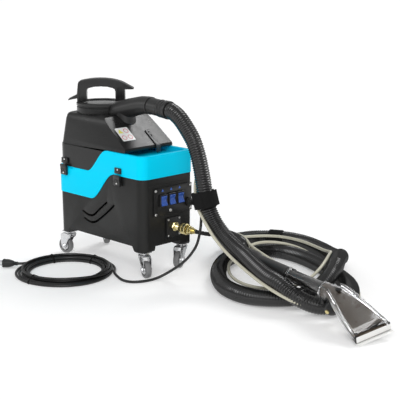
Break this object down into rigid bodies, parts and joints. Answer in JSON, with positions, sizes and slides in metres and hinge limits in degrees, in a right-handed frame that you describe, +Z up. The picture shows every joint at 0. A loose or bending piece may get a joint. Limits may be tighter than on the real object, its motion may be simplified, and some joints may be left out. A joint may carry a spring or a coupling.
{
  "type": "portable carpet cleaner",
  "caption": "Portable carpet spotting machine on casters with stacked tanks, vacuum hose, solution line, power cord and clear hand tool.",
  "frame": {"origin": "on the floor, under the centre of the box that holds the machine and its hand tool, cords and hose left out", "axes": "+Z up; -Y is the side the control panel faces; +X is on the right of someone facing the panel"},
  "size_m": [0.8777, 1.2276, 0.558],
  "materials": {
    "black_plastic": "satin",
    "blue_plastic": "satin",
    "panel_plastic": "satin",
    "switch_blue": "gloss",
    "hose_plastic": "gloss",
    "black_rubber": "matte",
    "cord_rubber": "matte",
    "grey_rubber": "matte",
    "cream_plastic": "satin",
    "white_plastic": "satin",
    "clear_plastic": "gloss",
    "webbing": "matte",
    "zinc": "satin",
    "brass": "satin",
    "motor_grey": "matte"
  },
  "bodies": {
    "machine": {"base_housing": "black_plastic", "base_plate": "zinc", "solution_tank": "blue_plastic", "recovery_tank": "black_plastic", "hose_elbow": "black_plastic", "hose_cuff": "black_plastic", "vacuum_hose": "hose_plastic", "hose_wrap": "webbing", "solution_line": "cream_plastic", "hose_sleeve": "black_rubber", "coupler_socket": "brass", "coupler_nipple": "brass", "bulkhead_plate": "black_plastic", "control_panel": "panel_plastic", "bezel_left": "black_plastic", "bezel_middle": "black_plastic", "bezel_right": "black_plastic", "cord_gland": "black_rubber", "power_cord": "cord_rubber", "power_cord_coil": "cord_rubber", "plug": "black_rubber", "front_strap": "zinc", "tool_head": "clear_plastic", "tool_tube": "clear_plastic", "tool_grip": "black_plastic", "tool_lip": "white_plastic", "tool_valve": "black_plastic", "vacuum_motor": "motor_grey", "solution_pump": "motor_grey", "heater": "zinc", "caster_fl_plate": "zinc", "caster_fr_plate": "zinc", "caster_rl_plate": "zinc", "caster_rr_plate": "zinc", "keeper_rear_left": "black_plastic", "keeper_rear_right": "black_plastic", "keeper_mid_left": "black_plastic", "keeper_mid_right": "black_plastic"},
    "lid": {"lid_ring": "black_plastic", "lid_window": "clear_plastic", "handle": "black_plastic"},
    "rocker_left_body": {"rocker_left": "switch_blue"},
    "rocker_middle_body": {"rocker_middle": "switch_blue"},
    "rocker_right_body": {"rocker_right": "switch_blue"},
    "latch_rear_left": {"lever_rear_left": "black_plastic"},
    "latch_mid_left": {"lever_mid_left": "black_plastic"},
    "latch_rear_right": {"lever_rear_right": "black_plastic"},
    "latch_mid_right": {"lever_mid_right": "black_plastic"},
    "caster_fl": {"caster_fl_fork": "zinc"},
    "wheel_fl": {"caster_fl_wheel": "grey_rubber"},
    "caster_fr": {"caster_fr_fork": "zinc"},
    "wheel_fr": {"caster_fr_wheel": "grey_rubber"},
    "caster_rl": {"caster_rl_fork": "zinc"},
    "wheel_rl": {"caster_rl_wheel": "grey_rubber"},
    "caster_rr": {"caster_rr_fork": "zinc"},
    "wheel_rr": {"caster_rr_wheel": "grey_rubber"},
    "coupler_release": {"coupler_sleeve": "brass"},
    "trigger": {"tool_trigger": "black_plastic"}
  },
  "joints": [
    {"name": "lid_lift", "type": "slide", "parent": "machine", "child": "lid", "axis": [0, 0, 1], "range_m": [0, 0.08]},
    {"name": "rocker_left_tilt", "type": "hinge", "parent": "machine", "child": "rocker_left_body", "pos_m": [-0.024, 0.19169, 0.226], "axis": [1, 0, 0], "range_deg": [-7, 7]},
    {"name": "rocker_middle_tilt", "type": "hinge", "parent": "machine", "child": "rocker_middle_body", "pos_m": [0.01, 0.19169, 0.226], "axis": [1, 0, 0], "range_deg": [-7, 7]},
    {"name": "rocker_right_tilt", "type": "hinge", "parent": "machine", "child": "rocker_right_body", "pos_m": [0.044, 0.19169, 0.226], "axis": [1, 0, 0], "range_deg": [-7, 7]},
    {"name": "latch_rear_left_hinge", "type": "hinge", "parent": "machine", "child": "latch_rear_left", "pos_m": [-0.1061, 0.55299, 0.266], "axis": [0, 1, 0], "range_deg": [-100, 0]},
    {"name": "latch_mid_left_hinge", "type": "hinge", "parent": "machine", "child": "latch_mid_left", "pos_m": [-0.1061, 0.29899, 0.269], "axis": [0, 1, 0], "range_deg": [-100, 0]},
    {"name": "latch_rear_right_hinge", "type": "hinge", "parent": "machine", "child": "latch_rear_right", "pos_m": [0.1061, 0.55299, 0.266], "axis": [0, 1, 0], "range_deg": [0, 100]},
    {"name": "latch_mid_right_hinge", "type": "hinge", "parent": "machine", "child": "latch_mid_right", "pos_m": [0.1061, 0.29899, 0.269], "axis": [0, 1, 0], "range_deg": [0, 100]},
    {"name": "caster_fl_swivel", "type": "hinge", "parent": "machine", "child": "caster_fl", "pos_m": [-0.076, 0.21899, 0.06], "axis": [0, 0, 1], "continuous": true},
    {"name": "wheel_fl_spin", "type": "hinge", "parent": "caster_fl", "child": "wheel_fl", "pos_m": [-0.08181, 0.20302, 0.0254], "axis": [0.9397, -0.342, 0], "continuous": true},
    {"name": "caster_fr_swivel", "type": "hinge", "parent": "machine", "child": "caster_fr", "pos_m": [0.076, 0.21899, 0.06], "axis": [0, 0, 1], "continuous": true},
    {"name": "wheel_fr_spin", "type": "hinge", "parent": "caster_fr", "child": "wheel_fr", "pos_m": [0.06003, 0.21318, 0.0254], "axis": [0.342, -0.9397, 0], "continuous": true},
    {"name": "caster_rl_swivel", "type": "hinge", "parent": "machine", "child": "caster_rl", "pos_m": [-0.076, 0.57099, 0.06], "axis": [0, 0, 1], "continuous": true},
    {"name": "wheel_rl_spin", "type": "hinge", "parent": "caster_rl", "child": "wheel_rl", "pos_m": [-0.07895, 0.58773, 0.0254], "axis": [-0.9848, -0.1736, 0], "continuous": true},
    {"name": "caster_rr_swivel", "type": "hinge", "parent": "machine", "child": "caster_rr", "pos_m": [0.076, 0.57099, 0.06], "axis": [0, 0, 1], "continuous": true},
    {"name": "wheel_rr_spin", "type": "hinge", "parent": "caster_rr", "child": "wheel_rr", "pos_m": [0.0845, 0.58571, 0.0254], "axis": [-0.866, 0.5, 0], "continuous": true},
    {"name": "coupler_sleeve_slide", "type": "slide", "parent": "machine", "child": "coupler_release", "axis": [0, 1, 0], "range_m": [0, 0.006], "stiffness_N_per_m": 400},
    {"name": "trigger_pull", "type": "hinge", "parent": "machine", "child": "trigger", "pos_m": [-0.00556, -0.40782, 0.05234], "axis": [0.9604, -0.2306, 0.1564], "range_deg": [0, 12], "stiffness_Nm_per_rad": 0.05}
  ]
}
